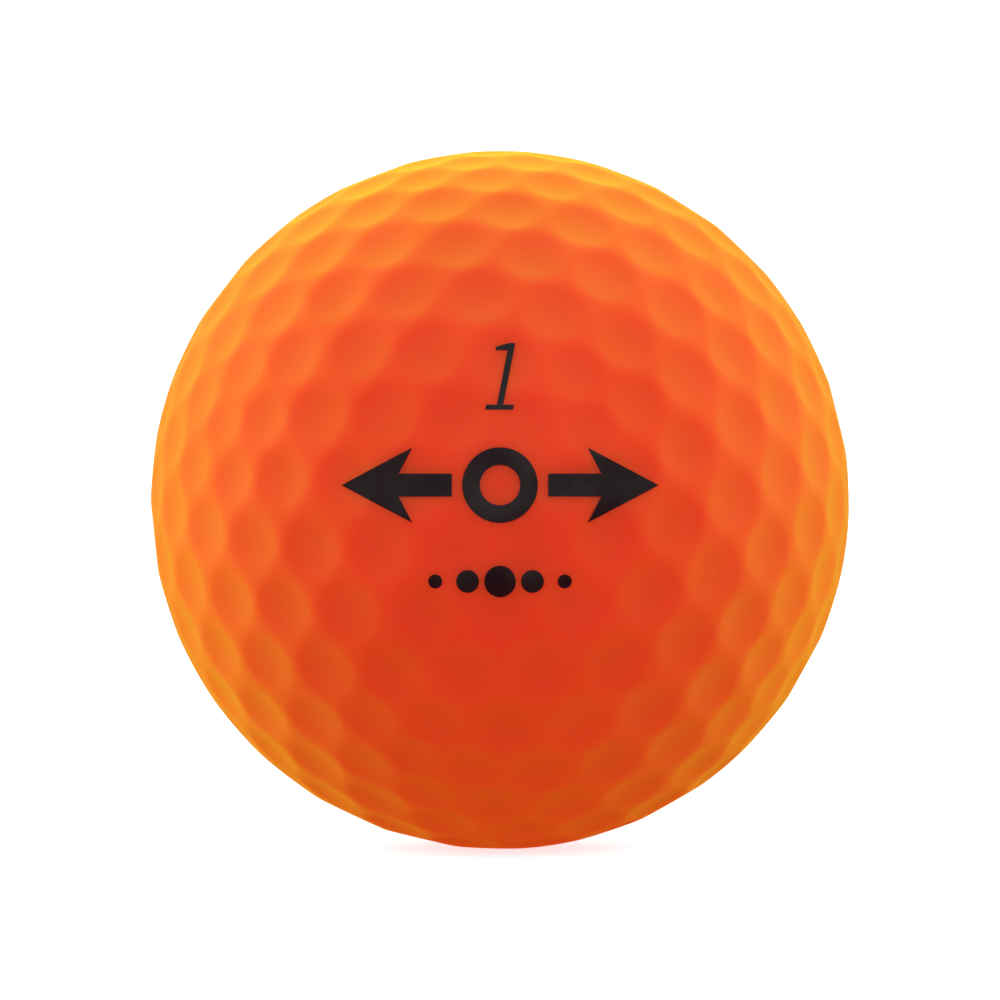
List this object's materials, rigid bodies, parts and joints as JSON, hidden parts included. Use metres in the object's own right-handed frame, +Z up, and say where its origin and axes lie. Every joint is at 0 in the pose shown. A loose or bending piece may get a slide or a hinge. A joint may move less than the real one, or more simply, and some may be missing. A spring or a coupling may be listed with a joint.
{
  "type": "golf ball",
  "caption": "Matte orange golf ball: solid core, mantle and dimpled cover, with a play number, an alignment mark and a row of dots in black ink.",
  "frame": {"origin": "centre of the ball", "axes": "+Z up, with the marks read upright; the printed side faces -Y"},
  "size_m": [0.0426, 0.0427, 0.0426],
  "materials": {
    "core_rubber": "moulded rubber, dull, faint flow marks",
    "mantle_plastic": "plain moulded plastic, ground to size",
    "cover_plastic": "bright orange matte plastic with a fine silky coat",
    "black_ink": "thin black pad-printed ink under a matte coat"
  },
  "bodies": {
    "root": {"core": "core_rubber", "mantle": "mantle_plastic", "cover": "cover_plastic", "numeral_print": "black_ink", "alignment_print": "black_ink", "dot_print": "black_ink"}
  },
  "joints": []
}
